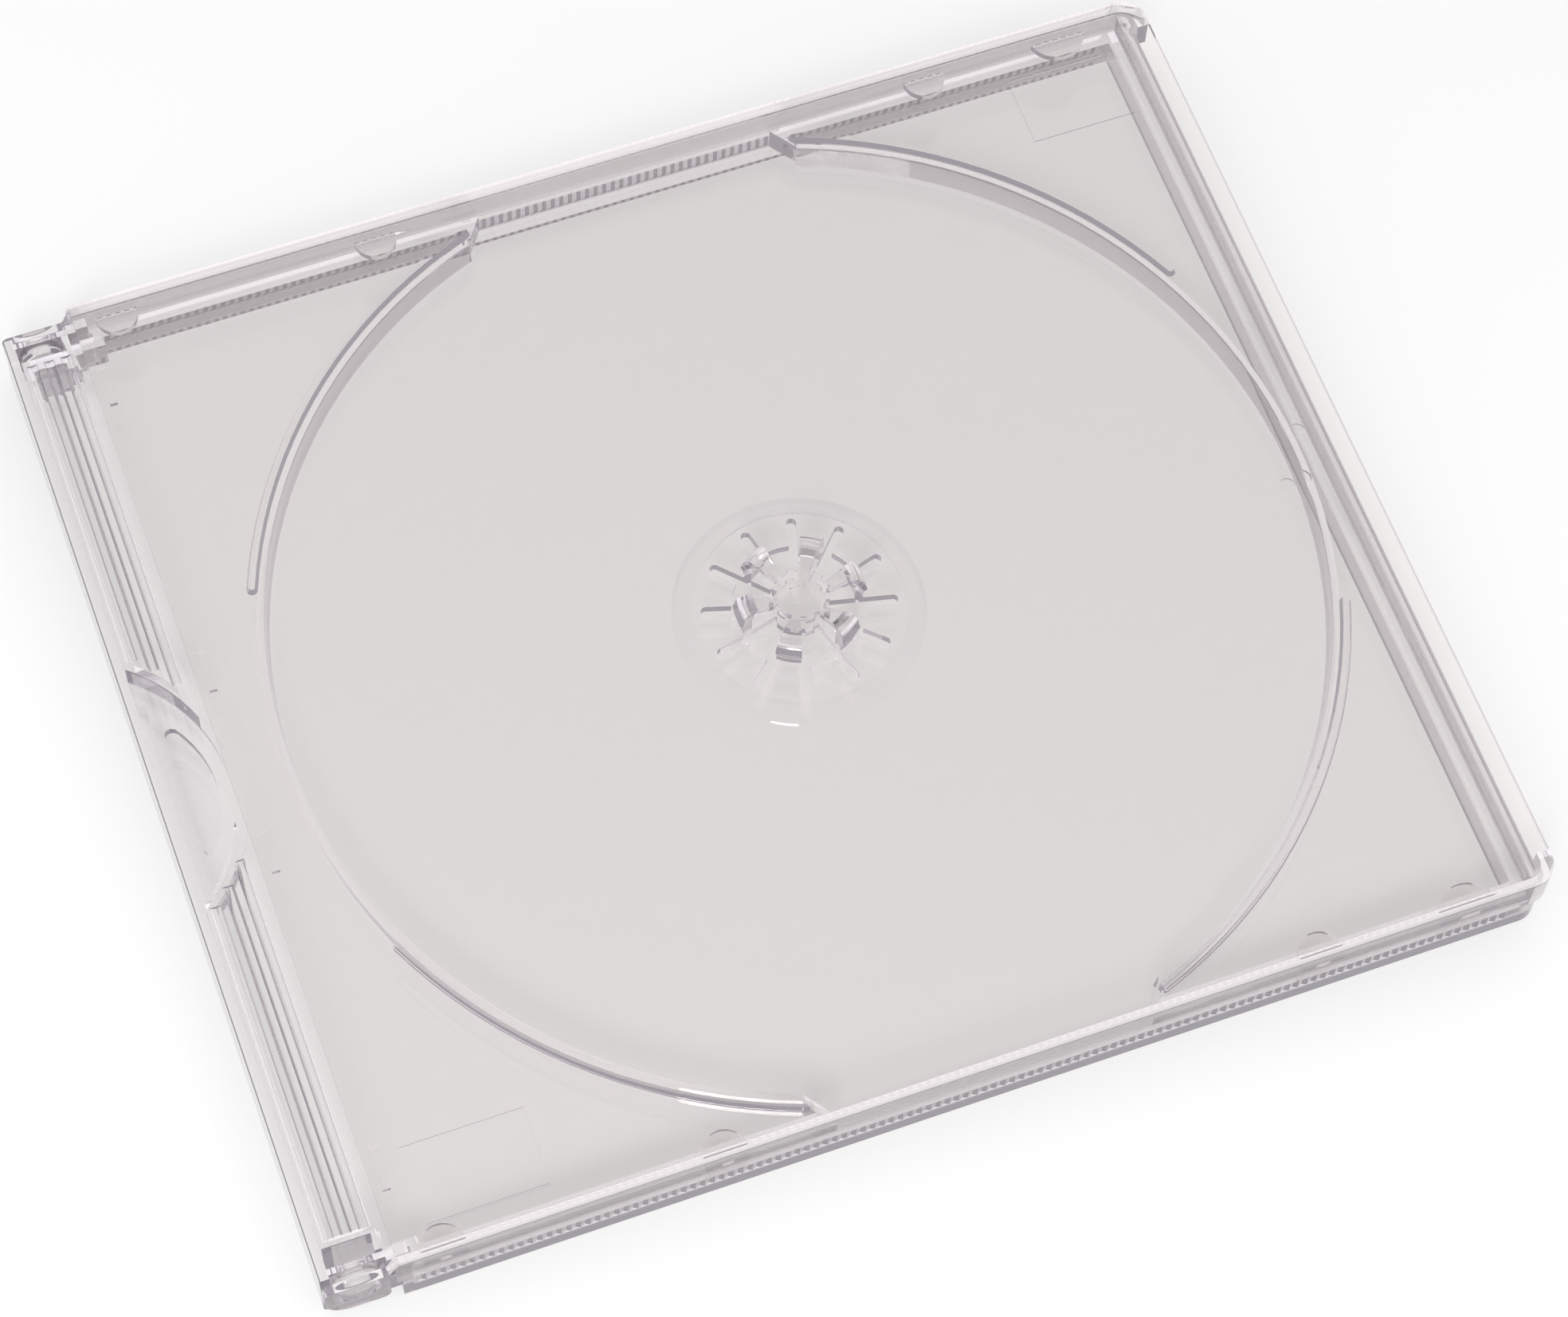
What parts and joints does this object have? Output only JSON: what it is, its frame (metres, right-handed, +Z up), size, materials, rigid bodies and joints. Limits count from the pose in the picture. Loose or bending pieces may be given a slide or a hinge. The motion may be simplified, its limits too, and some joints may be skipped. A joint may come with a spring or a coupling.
{
  "type": "cd jewel case",
  "caption": "Clear plastic hinged disc case, closed and empty: a lid with side rails and hinge arms, a back shell and a tray with a toothed hub that clips a disc.",
  "frame": {"origin": "underside of the closed case, under the middle of its outline", "axes": "+X from the spine (hinge side) to the opening edge, +Y across to the far side, +Z up through the lid"},
  "size_m": [0.142, 0.124, 0.0101],
  "materials": {
    "clear_polystyrene_lid": "clear, mould-polished",
    "clear_polystyrene_shell": "clear, mould-polished",
    "clear_polystyrene_tray": "clear, mould-polished"
  },
  "bodies": {
    "base": {"back_cover": "clear_polystyrene_shell", "disc_tray": "clear_polystyrene_tray"},
    "lid": {"front_cover": "clear_polystyrene_lid"}
  },
  "joints": [
    {"name": "lid_hinge", "type": "hinge", "parent": "base", "child": "lid", "pos_m": [-0.0671, 0, 0.00505], "axis": [0, -1, 0], "range_deg": [0, 180]}
  ]
}
